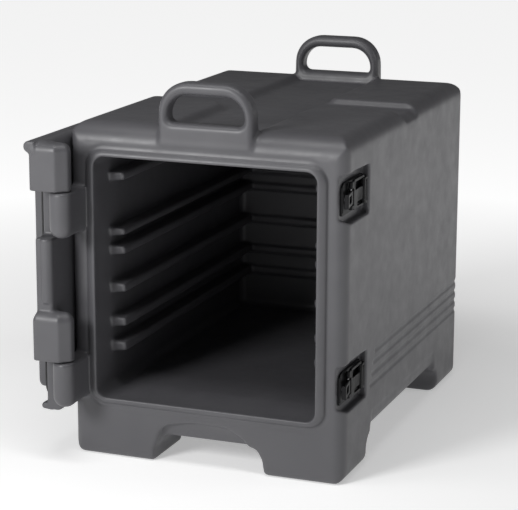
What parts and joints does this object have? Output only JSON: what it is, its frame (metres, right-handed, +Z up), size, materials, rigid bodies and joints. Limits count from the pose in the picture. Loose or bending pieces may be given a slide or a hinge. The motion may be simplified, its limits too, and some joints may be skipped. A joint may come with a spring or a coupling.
{
  "type": "insulated food carrier",
  "caption": "Front-loading insulated carrier for food pans: foam-filled body on feet with pan rails, loop handles on top, side-hung door and two latches.",
  "frame": {"origin": "middle of the footprint of the whole object, door lying open, on the surface that it stands on", "axes": "+Z up, +Y from the door opening towards the back, +X to the right as seen from the front"},
  "size_m": [0.5137, 0.7138, 0.6087],
  "materials": {
    "grey_polyethylene": "rotationally moulded polyethylene, satin, very lightly textured",
    "grey_liner": "rotationally moulded polyethylene, satin",
    "black_nylon": "injection moulded nylon, satin",
    "insulation_foam": "rigid polyurethane foam",
    "seal_rubber": "soft extruded seal",
    "steel": "plain stainless steel"
  },
  "bodies": {
    "carrier_body": {"body_outer_shell": "grey_polyethylene", "handle_front": "grey_polyethylene", "handle_back": "grey_polyethylene", "body_inner_liner": "grey_liner", "body_foam_core": "insulation_foam", "body_fill_plug_1": "black_nylon", "body_fill_plug_2": "black_nylon", "latch_base_lower": "black_nylon", "latch_lever_pin_lower": "steel", "latch_screw_lower_1": "steel", "latch_screw_lower_2": "steel", "latch_base_upper": "black_nylon", "latch_lever_pin_upper": "steel", "latch_screw_upper_1": "steel", "latch_screw_upper_2": "steel"},
    "door": {"door_outer_shell": "grey_polyethylene", "door_inner_panel": "grey_liner", "door_foam_core": "insulation_foam", "door_gasket": "seal_rubber", "door_fill_plug": "black_nylon", "hinge_pin_lower": "steel", "hinge_pin_upper": "steel", "door_keeper_lower": "black_nylon", "keeper_screw_lower_1": "steel", "keeper_screw_lower_2": "steel", "door_keeper_upper": "black_nylon", "keeper_screw_upper_1": "steel", "keeper_screw_upper_2": "steel"},
    "latch_lever_body_lower": {"latch_lever_lower": "black_nylon", "latch_hook_pin_lower": "steel"},
    "latch_hook_body_lower": {"latch_hook_lower": "black_nylon"},
    "latch_lever_body_upper": {"latch_lever_upper": "black_nylon", "latch_hook_pin_upper": "steel"},
    "latch_hook_body_upper": {"latch_hook_upper": "black_nylon"}
  },
  "joints": [
    {"name": "door_swing", "type": "hinge", "parent": "carrier_body", "child": "door", "pos_m": [-0.1919, -0.3404, 0.3], "axis": [0, 0, 1], "range_deg": [0, 270]},
    {"name": "latch_lever_swing_lower", "type": "hinge", "parent": "carrier_body", "child": "latch_lever_body_lower", "pos_m": [0.2486, -0.1869, 0.151], "axis": [0, 0, 1], "range_deg": [0, 75]},
    {"name": "latch_hook_swing_lower", "type": "hinge", "parent": "latch_lever_body_lower", "child": "latch_hook_body_lower", "pos_m": [0.2479, -0.2514, 0.151], "axis": [0, 0, -1], "range_deg": [0, 9]},
    {"name": "latch_lever_swing_upper", "type": "hinge", "parent": "carrier_body", "child": "latch_lever_body_upper", "pos_m": [0.2486, -0.1869, 0.446], "axis": [0, 0, 1], "range_deg": [0, 75]},
    {"name": "latch_hook_swing_upper", "type": "hinge", "parent": "latch_lever_body_upper", "child": "latch_hook_body_upper", "pos_m": [0.2479, -0.2514, 0.446], "axis": [0, 0, -1], "range_deg": [0, 9]}
  ]
}
